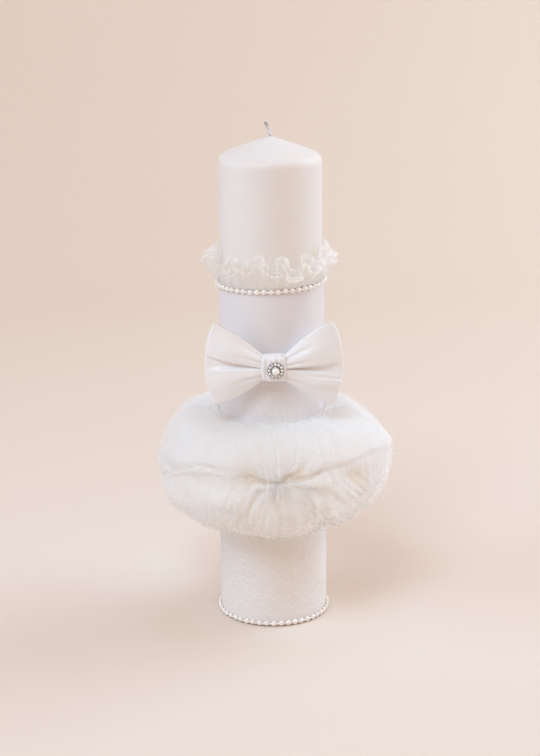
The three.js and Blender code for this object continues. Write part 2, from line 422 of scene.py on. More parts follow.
def cotton_material(name, tone, char_from=None):
    """Twisted cotton; above char_from, in millimetres, it is darker, as a trimmed wick end is."""
    s = Shader(name)
    fibre = s.noise(0.35, detail=6, roughness=0.75)
    base = s.mix_colour(fibre, colour(*(0.8 * c for c in tone)), colour(*tone))
    if char_from is not None:
        dark = s.span(s.axis(s.place(), 2), char_from * MM, (char_from + 4.5) * MM)
        base = s.mix_colour(dark, base, colour(0.42, 0.36, 0.34))
    normal = s.bump(fibre, 0.08, 0.8)
    return s.principled({"Base Color": base, "Roughness": 0.92, "Sheen Weight": 0.25, "Normal": normal})


def satin_material(name, tone, shade, gloss):
    """Satin: a warp-faced weave with long floats, so its sheen is broad and its grain very fine."""
    s = Shader(name)
    slub = s.noise(2.5, detail=3)
    drape = s.noise(22, detail=2)
    return s.principled({
        "Base Color": s.mix_colour(s.span(drape, 0.35, 0.65), colour(*tone), colour(*shade)),
        "Roughness": s.span(slub, 0.3, 0.7, gloss - 0.04, gloss + 0.06),
        "Specular IOR Level": 0.6,
        "Sheen Weight": 0.18,
        "Sheen Roughness": 0.35,
        "Normal": s.bump(s.threads(0.22, 0.16), 0.02, 0.45, s.bump(drape, 0.12)),
    })


def lace_material():
    s = Shader("embroidered_lace")
    relief = s.attribute("relief")
    stitches = s.math("ADD", s.threads(0.5, 0.5), s.noise(0.5, detail=4, roughness=0.7))
    net, thread = colour(0.83, 0.80, 0.785), colour(0.865, 0.84, 0.825)
    return s.principled({
        "Base Color": s.mix_colour(s.span(relief, 0.1, 0.7), net, thread),
        "Roughness": s.span(relief, 0, 1, 0.95, 0.72),
        "Sheen Weight": 0.2,
        "Normal": s.bump(stitches, 0.1, 0.7),
    })


def pearl_material():
    """Imitation pearl: a soft body under a clear lacquer, in a cloudy tone."""
    s = Shader("pearl")
    cloud = s.noise(2.2, detail=2)
    return s.principled({
        "Base Color": s.mix_colour(cloud, colour(0.90, 0.845, 0.79), colour(0.94, 0.90, 0.87)),
        "Roughness": s.span(cloud, 0.2, 0.8, 0.22, 0.3),
        "Subsurface Weight": 0.25,
        "Subsurface Radius": (1.0, 0.8, 0.65),
        "Subsurface Scale": 0.8 * MM,
        "Specular IOR Level": 0.7,
        "Coat Weight": 1.0,
        "Coat Roughness": 0.06,
        "Normal": s.bump(s.noise(0.6, detail=3), 0.01, 0.5),
    })


TULLE_TONE = (0.999, 0.997, 0.994)
NET_GLOW = 0.45


def net_material(name, alpha, tone=TULLE_TONE, roughness=0.85, sheen=0.3, edge=None):
    """Sheer net or organza: part of the light is turned back, part shines through, part passes by.

    edge gives how far along the cloth, in millimetres, its free edge starts to be denser and ends.
    """
    s = Shader(name)
    crinkle = s.noise(6, detail=3, roughness=0.55)
    mesh = s.noise(0.8, detail=1, vector=s.cloth())
    base = s.mix_colour(crinkle, colour(*(0.985 * c for c in tone)), colour(*tone))
    # Painted shade: this attribute tints the cloth warm beige in the crease and down the fold valleys,
    # standing in for the shade that falls there.
    base = s.mix_colour(s.attribute("painted_crease_shade"), base, colour(0.99, 0.94, 0.87))
    body = s.add("BsdfPrincipled", {
        "Base Color": base,
        "Roughness": roughness,
        "Specular IOR Level": 0.25,
        "Sheen Weight": sheen,
        "Sheen Roughness": 0.5,
        "Normal": s.bump(mesh, 0.03, 0.3, s.bump(crinkle, 0.1, 0.4)),
    })
    through = s.add("BsdfTranslucent", {"Color": base})
    cloth = s.add("MixShader", {0: NET_GLOW, 1: body, 2: through})
    cover = s.span(mesh, 0.3, 0.7, alpha - 0.05, alpha + 0.05)
    strands = s.math("MULTIPLY", s.noise(5, detail=1, vector=s.cloth()), 0.3)
    frayed = s.math("ADD", s.attribute("cut_end"), strands)
    cover = s.math("MULTIPLY", cover, s.span(frayed, 0.25, 1.15, 1.0, 0.0))
    if edge is not None:
        denser = s.span(s.axis(s.cloth(), 1), edge[0] * MM, edge[1] * MM, 0.0, 0.3)
        cover = s.math("ADD", cover, denser, clamp=True)
    return s.finish(s.add("MixShader", {0: cover, 1: s.add("BsdfTransparent"), 2: cloth}))


def silver_material():
    s = Shader("dark_silver")
    wear = s.noise(1.1, detail=4)
    return s.principled({
        "Base Color": s.mix_colour(wear, colour(0.62, 0.59, 0.58), colour(0.88, 0.86, 0.85)),
        "Metallic": 1.0,
        "Roughness": s.span(wear, 0.3, 0.7, 0.3, 0.5),
        "Normal": s.bump(s.noise(0.3, detail=3), 0.01, 0.6),
    })


def tin_material():
    s = Shader("tin_plate")
    scratches = s.noise(0.4, detail=5, distortion=1.5)
    return s.principled({
        "Base Color": s.mix_colour(scratches, colour(0.5, 0.5, 0.52), colour(0.72, 0.72, 0.73)),
        "Metallic": 1.0,
        "Roughness": s.span(scratches, 0.3, 0.7, 0.3, 0.5),
        "Normal": s.bump(scratches, 0.02, 0.5),
    })


def crystal_material():
    s = Shader("cut_glass")
    return s.principled({
        "Base Color": s.mix_colour(s.noise(4), colour(0.95, 0.97, 1.0), colour(1.0, 0.98, 0.96)),
        "Roughness": 0.01,
        "IOR": 1.6,
        "Transmission Weight": 0.35,
        "Metallic": 0.45,
        "Specular IOR Level": 0.8,
    })


def foil_material():
    s = Shader("foil_back")
    tint = s.mix_colour(s.noise(0.9), colour(0.75, 0.78, 0.84), colour(0.97, 0.97, 0.98))
    return s.principled({"Base Color": tint, "Metallic": 1.0, "Roughness": 0.08})


WAX = wax_material()
WICK_COTTON = cotton_material("wick_cotton", (0.93, 0.88, 0.87), char_from=WAX_TOP + 4)
THREAD = cotton_material("sewing_thread", (0.92, 0.9, 0.88))
SATIN = satin_material("satin_ribbon", (0.765, 0.745, 0.78), (0.78, 0.76, 0.77), 0.34)
BOW_SATIN = satin_material("bow_satin", (0.855, 0.86, 0.885), (0.865, 0.86, 0.875), 0.36)
LACE = lace_material()
PEARL = pearl_material()
TULLE = net_material("tulle_body", 0.93)
TULLE_STRIP = net_material("tulle_strip", 0.72)
TULLE_VEIL = net_material("tulle_veil", 0.4)
TULLE_HAZE = net_material("tulle_haze", 0.17)
ORGANZA = net_material("organza", 0.42, (0.98, 0.97, 0.95), roughness=0.4, sheen=0.1, edge=(12, 19))
SILVER = silver_material()
TIN = tin_material()
CRYSTAL = crystal_material()
FOIL = foil_material()


# ---- Candle ----


def wax_body():
    """The pillar: rounded shoulder, low cone that climbs a little up the wick, bore and base recess."""
    bore = WICK_RADIUS + 0.3
    collar_radius, collar_top = 2.1, 5.5
    recess_radius, recess_top = 8.0, 1.3
    shoulder_z = WAX_TOP - 10.5
    shoulder_round = 7.0
    cone_angle = math.atan2(WAX_TOP - shoulder_z, WAX_RADIUS - bore)
    profile = [(recess_radius, 0.0), (WAX_RADIUS - 1.0, 0.0), (WAX_RADIUS - 0.3, 0.3), (WAX_RADIUS, 1.0)]
    profile += [(WAX_RADIUS, z) for z in np.linspace(8, shoulder_z - shoulder_round - 1, 60)]
    for turn in np.linspace(0, math.pi / 2 - cone_angle, 14):
        inward = shoulder_round * (1 - math.cos(turn))
        profile.append((WAX_RADIUS - inward, shoulder_z - shoulder_round * (1 - math.sin(turn))))
    flank_radius, flank_z = profile[-1]
    for t in np.linspace(0, 1, 24)[1:]:
        radius = flank_radius + (bore - flank_radius) * t
        climb = 0.5 * math.exp(-(radius - bore) / 2.2)
        swell = 0.5 * math.sin(math.pi * t)
        profile.append((radius, flank_z + (WAX_TOP - 0.5 - flank_z) * t + swell + climb))
    profile += [(bore, collar_top), (collar_radius, collar_top)]
    profile += [(collar_radius, recess_top), (recess_radius, recess_top)]
    finish_piece(turned("wax_body", profile, WAX, segments=192), "wax", "wax_pillar")


def wick_braid():
    """Four cotton strands that plait round one another along the free end, and a plain core below."""
    free_end = WICK_HIGH[2]
    braid_foot = WAX_TOP - 6
    pitch = 3.4

    def centre(z):
        along = np.clip((z - WAX_TOP) / (free_end - WAX_TOP), 0, 1)
        return np.stack([WICK_LEAN * along**1.3, np.zeros_like(z), z], axis=-1)

    parts = []
    z = np.linspace(braid_foot, free_end - 0.4, 90)
    turns = (z - braid_foot) / pitch * FULL_TURN
    for strand in range(4):
        phase = strand * np.pi / 2
        direction = 1 if strand % 2 else -1
        reach = 0.56 + 0.14 * np.cos(2 * turns + phase)
        path = centre(z)
        path[:, 0] += reach * np.cos(direction * turns / 2 + phase)
        path[:, 1] += reach * np.sin(direction * turns / 2 + phase)
        taper = np.interp(z, [braid_foot, free_end - 1.2, free_end], [0.46, 0.54, 0.4])
        parts.append(tube_parts(path, taper, sides=8))
    core_z = np.array([WICK_LOW[2], 100.0, 220.0, braid_foot + 1])
    parts.append(tube_parts(centre(core_z), WICK_RADIUS * 0.9, sides=16))
    joined_piece("wick_braid", parts, WICK_COTTON, "wick_cotton", "wick")


# ---- Wraps and trims ----


def satin_sleeve():
    """A wide ribbon round the pillar, with faint tension ripples and its ends lapped at the back."""
    columns, rows = 360, 121
    lap_angle = math.radians(172)
    angle = lap_angle - FULL_TURN + np.linspace(0, 1, columns) * (FULL_TURN + math.radians(16))
    z = np.linspace(SATIN_BOTTOM, SATIN_TOP, rows)[:, None]
    along = (z - SATIN_BOTTOM) / (SATIN_TOP - SATIN_BOTTOM)
    ripple = 0.1 * ring_noise(angle, along, 9, 14, 3) + 0.05 * ring_noise(angle, along, 30, 6, 4)
    lap = 0.45 * ease(np.clip((angle - lap_angle + 0.02) / 0.05, 0, 1))
    radius = SATIN_RADIUS - 0.35 + ripple + lap
    size = (FULL_TURN * SATIN_RADIUS, SATIN_TOP - SATIN_BOTTOM)
    obj = grid_object("satin_sleeve", ring_points(radius, angle[None, :], z), SATIN, size=size)
    finish_piece(obj, "satin_ribbon", "satin_wrap")


LACE_ROWS = 14
LACE_ROW_HEIGHT = 6.1
LACE_REPEATS = 7
LEAVES_PER_ROW = 9


def leaf(s, z, centre_s, centre_z, length, width, turn):
    """Height of one pointed leaf on the lace, from 0 to 1."""
    ds = s - centre_s
    dz = z - centre_z
    along = (ds * math.cos(turn) + dz * math.sin(turn)) / length
    across = (-ds * math.sin(turn) + dz * math.cos(turn)) / (width * np.clip(1 - along**2, 0.02, 1))
    return np.clip(1.15 - along**2 - across**2, 0, 1) ** 0.5


def flower(s, z, centre_s, centre_z, radius):
    """Height of a five-petalled flower on the lace, from 0 to 1."""
    ds = s - centre_s
    dz = z - centre_z
    distance = np.hypot(ds, dz)
    petals = radius * (0.72 + 0.28 * np.cos(5 * np.arctan2(dz, ds)))
    return np.clip(1.2 - (distance / petals) ** 2, 0, 1) ** 0.5 * (distance > 0.22 * radius)


def lace_height(s, z, repeat):
    """The embroidery's relief: rows of scrolling stems, leaves and flowers, and a scalloped line."""
    height = np.zeros(np.broadcast(s, z).shape)
    for row in range(LACE_ROWS):
        base_z = 7 + LACE_ROW_HEIGHT * row
        u = (s + repeat * (0.37 * row % 1)) % repeat
        sway = 1.1 + 0.5 * math.sin(2.3 * row)
        stem_base = base_z + 2.4
        stem_z = stem_base + sway * np.sin(FULL_TURN * u / repeat)
        height = np.maximum(height, 0.35 * hump(z, stem_z, 0.4))
        for k in range(LEAVES_PER_ROW):
            centre = (k + 0.5 + 0.3 * math.sin(5.1 * k + 1.7 * row)) / LEAVES_PER_ROW * repeat
            side = 1 if k % 2 else -1
            slope = math.atan(sway * FULL_TURN / repeat * math.cos(FULL_TURN * centre / repeat))
            leaf_z = stem_base + sway * math.sin(FULL_TURN * centre / repeat)
            leaf_z += side * (1.0 + 0.2 * (k % 3))
            turn = slope + side * math.radians(5 + 5 * ((k + row) % 3))
            length = 2.0 + 0.5 * ((k + 2 * row) % 3)
            for wrap in (-repeat, 0, repeat):
                height = np.maximum(height, leaf(u, z, centre + wrap, leaf_z, length, 0.6, turn))
        for wrap in (-repeat, 0, repeat):
            height = np.maximum(height, flower(u, z, 0.3 * repeat + wrap, base_z - 0.6, 1.2))
    scallop_z = LACE_TOP - 17.5 + 1.3 * np.abs(np.sin(np.pi * s / repeat * 2))
    return np.maximum(height, 0.9 * hump(z, scallop_z, 0.6))


def lace_band():
    """The lace as real relief on a net ground, with a ribbed lower edge."""
    columns, rows = 640, 240
    circumference = FULL_TURN * LACE_RADIUS
    angle = ring_angles(columns)
    z = np.linspace(LACE_BOTTOM, LACE_TOP, rows)[:, None]
    s = (angle / FULL_TURN * circumference)[None, :]
    height = lace_height(s, z, circumference / LACE_REPEATS)
    ribs = 0.5 + 0.5 * np.cos(FULL_TURN * s / 1.7)
    edge = np.clip((7.5 - z) / 1.5, 0, 1)
    height = np.maximum(height * (1 - edge), 0.45 * ribs * edge)
    net = 0.5 + 0.25 * (np.cos(FULL_TURN * (s + z) / 1.5) + np.cos(FULL_TURN * (s - z) / 1.5))
    relief = np.maximum(height, np.where(height < 0.15, 0.14 * net, 0.0))
    pucker = 0.12 * ring_noise(angle[None, :], (z - LACE_BOTTOM) / 90, 24, 9, 12)
    radius = LACE_RADIUS - 0.5 + 0.24 * relief + pucker
    size = (circumference, LACE_TOP - LACE_BOTTOM)
    obj = grid_object("lace_band", ring_points(radius, angle[None, :], z), LACE, closed=True, size=size)
    point_attribute(obj, "relief", relief)
    finish_piece(obj, "lace", "lace_wrap")


def half_pearl(radius, depth):
    """One flat-backed pearl, its back on the plane of x = 0 and its dome towards +x."""
    rise = np.linspace(0, np.pi / 2, 8)[:-1]
    dome = [(radius * math.cos(t), depth * math.sin(t)) for t in rise]
    vertices, faces = lathe_parts([(0, 0), *dome, (0, depth)], 18)
    return np.roll(vertices, 1, axis=1), faces


def pearl_string(name, node, back_radius, centre_z, slope, seed):
    """Half pearls on their thread, each one turned and spaced a little differently."""
    draw = np.random.default_rng(seed)
    dome, dome_faces = half_pearl(PEARL_RADIUS, PEARL_RADIUS * 0.98)
    parts = []
    for k in range(PEARL_COUNT):
        angle = (k + draw.uniform(-0.06, 0.06)) / PEARL_COUNT * FULL_TURN
        scale = draw.uniform(0.96, 1.03)
        tip = draw.uniform(-0.07, 0.07)
        radial = np.array([math.sin(angle), -math.cos(angle), 0])
        sideways = np.array([math.cos(angle), math.sin(angle), 0])
        upwards = np.array([0, 0, 1.0])
        outward = radial + tip * upwards
        rise = draw.uniform(-0.15, 0.15)
        centre = back_radius * radial
        centre[2] = centre_z + slope * centre[0] + max(rise, -0.1)
        local = dome * scale
        vertices = centre + local[:, :1] * outward + local[:, 1:2] * sideways + local[:, 2:] * upwards
        parts.append((vertices, dome_faces))
    thread_radius = 0.55
    thread = ring_points(back_radius + 0.8, ring_angles(4 * PEARL_COUNT), 0.0)
    thread[:, 2] = centre_z + slope * thread[:, 0]
    parts.append(tube_parts(thread, thread_radius, sides=10, closed=True))
    joined_piece(name, parts, PEARL, "pearl", node)


def frill_leaf(name, width, folds, reach, seed, gap):
    """One leaf of the gathered ribbon: its free edge snakes in and out and flops over in loops."""
    columns, rows = 1300, 24
    angle = gap + math.radians(1.0) + np.linspace(0, 1, columns) * (FULL_TURN - math.radians(2.0))
    along = np.linspace(0, 1, rows)

    def vary(cells, offset):
        return ring_noise(angle, 0 * angle, cells, 1, seed + offset)

    phase = folds * angle + 2.0 * vary(9, 0) + 1.2 * vary(folds, 1)
    flop = np.clip((0.5 + 0.5 * np.cos(phase)) * (0.95 + 0.3 * vary(folds, 2)), 0, 1.1)
    droop = 0.42 + 0.22 * vary(folds, 3)
    reach = reach * round_keys(angle, {-90: 1.3, 0: 1.0, 90: 0.72, 180: 1.0})
    tall = width / 24 * (1.0 + 0.12 * vary(21, 4))
    foot_r = WAX_RADIUS + 2.4
    foot_z = SATIN_TOP + 0.6
    keys = [
        (foot_r + 0 * flop, foot_z + 0 * flop),
        (foot_r + 0.3 + 0.28 * reach * flop, foot_z + tall * (7.0 - 0.4 * flop)),
        (foot_r + 0.4 + 0.76 * reach * flop, foot_z + tall * (15.0 - 3.0 * flop)),
        (foot_r + 0.8 + reach * flop, foot_z + tall * (22.5 - 22 * droop * flop)),
    ]
    curve = spline(np.array(keys).transpose(0, 2, 1), along)
    t = along[:, None]
    gathers = 0.3 * ridges(ring_noise(angle, t, 150, 2, seed + 5)) * (1 - t)
    crinkle = 0.45 * ring_noise(angle, t, 75, 3, seed + 6) * (0.4 + 0.6 * t)
    radius = np.maximum(curve[..., 0] + gathers + crinkle, WAX_RADIUS + 0.8)
    curl = 3.6 * np.sin(2 * phase) * t**1.5 * (0.3 + 0.7 * flop)
    sway = 2.0 * ring_noise(angle, t, 25, 2, seed + 7) * t
    turn = angle + (curl + sway) / radius
    z = curve[..., 1] + 0.7 * ring_noise(angle, t, 60, 3, seed + 8) * t
    z += TRIM_SLOPE * radius * np.sin(turn)
    obj = grid_object(name, ring_points(radius, turn, z), ORGANZA, size=(560, 19))
    finish_piece(obj, "organza")
    return obj


def organza_frill():
    """The organza ribbon is folded lengthwise and gathered on the fold, so it has two free edges."""
    tall = frill_leaf("organza_tall_leaf", 24.0, 15, 9.0, 20, math.radians(30))
    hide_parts("organza_ruffle")
    frill_leaf("organza_short_leaf", 19.0, 18, 10.0, 60, math.radians(34))


# ---- Tulle pouf ----

PUFF_ROWS = 88
PUFF_ANGLES = ring_angles(960)
# The crease between the strips combed upwards and those combed down, by degrees from the front.
CREASE_Z = {-150: 109, -118: 106, -90: 105, -62: 114.5, -40: 124.5, -20: 122, 3: 119, 17: 121, 32: 125,
            58: 127, 82: 118, 112: 111, 150: 110, 183: 107}
CREASE_DEPTH = {-150: 4, -118: 2, -90: 1.5, -62: 1, -40: 1.5, -20: 2.2, 3: 3.8, 17: 3.0, 32: 3.0,
                58: 2.4, 82: 1.6, 112: 3, 150: 5, 183: 10}
# How far the strips that bridge the crease stay out of it.
BRIDGE = {-150: 0.7, -100: 0.95, -45: 1.0, -22: 0.5, 0: 0.0, 20: 0.1, 60: 0.35, 95: 0.6, 150: 0.5}
PINCH_ANGLE = math.radians(3)
PINCH_Z = 119.0
PINCH_WIDTH = math.radians(34)
# How far above and below the crease the gathers draw the cloth together.
PINCH_REACH = 24
# The radius at which angles near the gathers are turned into millimetres.
GATHER_RADIUS = 66
# The front gather and the one guessed at the back: angle, strength, and which way across is positive.
GATHERS = ((PINCH_ANGLE, 1.0, 1), (PINCH_ANGLE + math.pi, 0.7, -1))
# How far the cut ends of the short lower strips climb: they cascade on the right and hang on the left.
CASCADE = {-150: 0.25, -100: 0.1, -50: 0.0, -15: 0.05, 12: 0.15, 34: 0.75, 70: 1.0, 112: 0.85, 150: 0.45}
# How much the lower strips are pleated, and how far their pleats lean away from the vertical.
FRILLS = {-150: 0.4, -100: 0.15, -50: 0.1, -22: 0.45, 0: 0.6, 30: 0.65, 62: 1.0, 100: 0.85, 150: 0.6}
LEAN = {-150: -0.1, -90: -0.3, -45: -0.2, 0: 0.0, 30: 0.5, 60: 0.9, 100: 0.6, 150: 0.1}
HEM_LIFT = {-150: 5, -90: 6, -50: 4.5, -10: 2.5, 30: 2, 80: 3, 150: 5}
SHOULDER_DROP = {-150: 1.5, -90: 0, 0: 0, 45: 2.5, 100: 4.5, 150: 3}
# Folds that stand out round the front gather: their lines in millimetres across and up from it, from
# the gather outwards, then their depth and width.
FRONT_FOLDS = [
    ([(-3, -1), (-8, 0), (-14, 1.5)], 1.4, 1.6),
    ([(-5, 1), (-10, 1.5), (-16, 3), (-24, 7.5)], 1.9, 1.5),
    ([(-38, 8), (-44, 8.5), (-51, 8)], 1.2, 1.2),
    ([(-5, -4), (-11, -7), (-15, -14), (-20, -25), (-31, -37)], 2.4, 1.9),
    ([(-2, -5), (-3.5, -8), (-1, -15), (2, -26), (2, -42)], 2.3, 1.6),
    ([(-7, -9), (-9, -18), (-9, -30)], 1.3, 1.3),
    ([(3, -5), (5, -9), (9, -20), (12, -38)], 1.5, 1.3),
    ([(7, -4), (17, -9), (21, -20), (22, -34)], 1.8, 1.4),
    ([(9, -3), (21, -6), (26, -15), (31, -27)], 2.1, 1.7),
    ([(22, -6), (31, -12), (37, -19), (41, -27)], 2.6, 2.6),
    ([(5, -2), (10, -3), (19, -4.5), (32, -5.5)], 1.9, 1.5),
    ([(5, 1), (12, 1.5), (19, 3.5), (26, 8)], 2.0, 1.5),
    ([(2, 3), (6, 7), (9, 13)], 1.2, 1.4),
    ([(4, 3), (11, 6), (14.5, 12)], 1.4, 1.4),
    ([(-1, 3), (-2, 8), (-7, 15)], 1.0, 1.6),
    ([(43, 1), (47, -2), (52, -8)], 3.2, 4.0),
]

DEEPEST_FOLD = 2.6


def pinch(angle, strength):
    """Draws columns of cloth together towards the front gather and the one at the back."""
    for middle, share, _ in GATHERS:
        away = (angle - middle + math.pi) % FULL_TURN - math.pi
        angle = angle - share * strength * away * hump(away, 0, PINCH_WIDTH)
    return angle


def fold_line(across, up, points, depth, width):
    """A groove along a line of points, with a soft lip on either side, that fades at both ends."""
    nearest = np.full(across.shape, np.inf)
    place = np.zeros(across.shape)
    spans = len(points) - 1
    for k in range(spans):
        (x, y), (x_next, y_next) = points[k], points[k + 1]
        dx, dy = x_next - x, y_next - y
        t = np.clip(((across - x) * dx + (up - y) * dy) / (dx * dx + dy * dy), 0, 1)
        distance = np.hypot(across - x - t * dx, up - y - t * dy)
        closer = distance < nearest
        place = np.where(closer, (k + t) / spans, place)
        nearest = np.where(closer, distance, nearest)
    strength = np.clip(0.35 + 4 * place, 0, 1) * np.sqrt(np.clip(1.05 - place, 0, 1))
    return depth * strength * (0.45 * hump(nearest, 2.1 * width, 1.3 * width) - hump(nearest, 0, width))


def gather_rays(turn, z):
    """Pleats that radiate from the front and back gathers, in millimetres outwards."""
    turn, z = np.broadcast_arrays(turn, z)
    push = np.zeros(turn.shape)
    for middle, share, side in GATHERS:
        away = (turn - middle + math.pi) % FULL_TURN - math.pi
        across = side * away * GATHER_RADIUS
        up = z - PINCH_Z
        distance = np.hypot(across, up)
        bearing = np.arctan2(up, across) + 0.1 * np.sin(distance / 7)
        reach = distance / 12 * np.exp(1 - distance / 12)
        near = np.clip(2.2 - np.abs(away), 0, 1)
        fine = ridges(ring_noise(bearing, distance / 70, 44, 3, 900))
        broad = ridges(ring_noise(bearing, distance / 70, 20, 2, 901))
        push += share * near * reach * (0.7 * fine + 1.0 * broad)
        close = np.hypot(across / 70, up / 60) < 1
        drawn = sum(fold_line(across[close], up[close], *line) for line in FRONT_FOLDS)
        limited = DEEPEST_FOLD * np.tanh(drawn / DEEPEST_FOLD)
        push[close] += share * limited * np.clip(distance[close] / 6, 0.3, 1)
    return push


def pleat_crests(angle, level):
    """Even pleats with sharp valleys that lean away from the crease on each side, from -1 to 1."""
    leaning = angle - round_keys(angle, LEAN) * np.clip(0.6 - level, 0, 0.6)
    wander = 1.6 * ring_noise(leaning, level, 26, 2, 220)
    size = 0.75 + 0.45 * ring_noise(leaning, level, 48, 3, 221)
    return size * (1.8 * np.abs(np.sin(44 * leaning + wander)) - 1.1)


def pouf_folds(angle, level):
    """One field of folds for the whole pouf, in millimetres outwards, so that its layers nest.

    level runs from 0 at the hem to 1 at the top.
    """
    push = 1.5 * ring_noise(angle, level, 13, 7, 109) * np.sin(np.pi * np.clip(level, 0.05, 1))
    for index, (count, rows, *depth) in enumerate(FOLDS):
        noise = ring_noise(angle, level, count, rows, 200 + index)
        push += np.interp(level, FOLD_LEVELS, depth) * (noise if index == 0 else ridges(noise))
    pleats = np.interp(level, FOLD_LEVELS, PLEATS) * round_keys(angle, FRILLS)
    return push + pleats * pleat_crests(angle, level)


def key_curve(keys):
    """The smooth curves through key points [(radius, z), ...] round the pouf, and their normals."""
    columns = len(PUFF_ANGLES)
    key_points = np.array([[np.broadcast_to(r, columns), np.broadcast_to(z, columns)] for r, z in keys])
    curve = spline(np.moveaxis(key_points, 1, 2), np.linspace(0, 1, PUFF_ROWS))
    tangent = np.gradient(curve, axis=0)
    tangent /= np.maximum(np.linalg.norm(tangent, axis=-1, keepdims=True), 1e-6)
    normal = np.stack([tangent[..., 1], -tangent[..., 0]], axis=-1)
    if np.mean(normal[PUFF_ROWS // 2, :, 0]) < 0:
        normal = -normal
    return curve, normal


def tulle_sheet(name, keys, material, layer, tied=True, frill=0.0, loose=0.0):
    """A gathered sheet of tulle through key curves [(radius, z), ...] that change round the candle.

    layer is how far out the sheet lies, in millimetres, and tied sheets start at the tie. frill is how
    far the pleats of its cut end stand out and loose how far its own tufts do, in millimetres.
    """
    curve, normal = key_curve(keys)
    height = curve[..., 1]
    along = np.linspace(0, 1, PUFF_ROWS)[:, None]
    level = np.clip((height - POUF_HEM) / (POUF_TOP - POUF_HEM), 0, 1)
    crease_z = round_keys(PUFF_ANGLES, CREASE_Z)
    turn = pinch(PUFF_ANGLES, 0.6 * hump(height, crease_z, PINCH_REACH))
    inside = np.interp(along, [0, 0.25], [0.1, 1]) if tied else 1.0
    spacing = PUFF_ANGLES + 0.004 * layer
    push = pouf_folds(spacing, level) * inside + gather_rays(turn, height)
    cut_end = np.clip((along - 0.7) / 0.3, 0, 1) ** 1.5 * round_keys(PUFF_ANGLES, FRILLS)
    push += frill * cut_end * (0.7 + pleat_crests(spacing, level))
    if loose:
        push += loose * ridges(ring_noise(spacing, level, 64, 9, 301)) * np.sin(np.pi * level)
    slide = 0.5 * ring_noise(spacing, level, 62, 4, 242) + 0.3 * ring_noise(spacing, level, 150, 6, 243)
    z = height + push * normal[..., 1]
    clear = 0.25 + 0.25 * max(layer, 0)
    inner_radius = np.where(z < LACE_TOP + 2, LACE_RADIUS, SATIN_RADIUS) + clear
    radius = np.maximum(curve[..., 0] + push * normal[..., 0], inner_radius)
    points = ring_points(radius, turn + slide / radius, z)
    width = float(np.linalg.norm(np.diff(points, axis=0), axis=-1).sum(axis=0).mean())
    obj = grid_object(name, points, material, closed=True, size=(700, width))
    ends = along if tied else np.maximum(along, 1 - along)
    fade = 0.03 if material is TULLE else 0.18
    cut = np.clip((ends - 1 + fade) / fade, 0, 1)
    point_attribute(obj, "cut_end", np.broadcast_to(cut, height.shape))
    # Painted shade: how deep each point lies in the crease or a fold valley, kept as an attribute that the
    # tulle materials turn into a warm painted shade.
    depth = round_keys(PUFF_ANGLES, CREASE_DEPTH) / 7 * hump(height, crease_z, 3.5)
    point_attribute(obj, "painted_crease_shade", np.clip(depth - push / 4 - 0.35, 0, 0.8))
    finish_piece(obj, "tulle")
    return obj


def crease_lines():
    """The pouf's widest radius, then the radius and height of its crease, at each angle round it."""
    wide = POUF_RADIUS - 1.0 + round_keys(PUFF_ANGLES, {-90: -2, 0: -2.5, 55: 0, 90: 1.5, 180: 0})
    return wide, wide - round_keys(PUFF_ANGLES, CREASE_DEPTH), round_keys(PUFF_ANGLES, CREASE_Z)


def upper_keys(grow):
    """Key curves of a sheet that leaves the tie, turns up at the crease and tucks in by the candle."""
    wide, crease_r, crease_z = crease_lines()
    wide = wide - 1.0 + grow
    drop = round_keys(PUFF_ANGLES, SHOULDER_DROP)
    climb = 1.2 + 1.6 * ring_noise(PUFF_ANGLES, 0, 30, 1, 500)
    height = POUF_TOP - crease_z
    return [
        (TIE_HIGH[0] - 1.6, TIE_Z + 1.0),
        (crease_r - 9, crease_z + 0.2),
        (crease_r + 0.5 * grow, crease_z + 0.2),
        (0.2 * crease_r + 0.8 * wide, crease_z + 0.09 * height),
        (wide, crease_z + 0.3 * height),
        (wide - 5.0 - 0.7 * drop, crease_z + 0.62 * height + 0.3 * grow),
        (wide - 15.0 - 1.5 * drop, POUF_TOP - 3.8 + 0.7 * grow),
        (LACE_RADIUS + 9, POUF_TOP - 1.0 + 0.5 * grow),
        (SATIN_RADIUS + 3.5 + 0.3 * grow, POUF_TOP - 0.6 + 0.4 * grow),
        (SATIN_RADIUS + 0.3 + 0.3 * grow, POUF_TOP - 0.8 + (0.5 + 2.2 * grow) * climb),
    ]


def lower_keys(grow, climb=0.0, drop=0.0):
    """Key curves of a sheet that leaves the tie, rolls over below the crease and hangs to its hem."""
    wide, crease_r, crease_z = crease_lines()
    wide = wide + grow
    climb = climb * round_keys(PUFF_ANGLES, CASCADE)
    hem_z = POUF_HEM + drop + climb + round_keys(PUFF_ANGLES, HEM_LIFT)
    hem_z = np.minimum(hem_z, crease_z - 12)
    hem_r = np.interp(hem_z, [70, 73, 80, 88, 97, 106], [54, 58, 67.5, 74.5, 78, 79]) + grow
    hem_r = hem_r + 0.05 * climb
    rim_z = 0.6 * crease_z + 0.4 * hem_z
    rim_r = 0.55 * wide + 0.45 * np.maximum(hem_r, wide - 3)
    return [
        (TIE_HIGH[0] - 1.6, TIE_Z - 1.0),
        (crease_r - 9, crease_z - 0.2),
        (crease_r + 0.5 * grow, crease_z - 0.2),
        (0.2 * crease_r + 0.8 * wide, 0.92 * crease_z + 0.08 * hem_z),
        (rim_r + 0.5, rim_z),
        (0.35 * hem_r + 0.65 * rim_r, 0.5 * rim_z + 0.5 * hem_z),
        (hem_r, hem_z),
    ]


def waist_keys(grow, hold):
    """Key curves of a sheer strip that spans the crease from the crown to the cascade without the tie."""
    wide, crease_r, crease_z = crease_lines()
    share = np.clip(round_keys(PUFF_ANGLES, BRIDGE) + hold, 0, 1)
    low = crease_r + 0.5 * grow
    waist = low + share * (wide + grow + 0.5 - low)
    return upper_keys(grow)[:2:-1] + [(waist, crease_z)] + lower_keys(grow, climb=20, drop=1)[3:]


# The levels, from the hem to the top, at which the depths of folds and leaning pleats are given.
FOLD_LEVELS = [0, 0.25, 0.5, 0.75, 1]
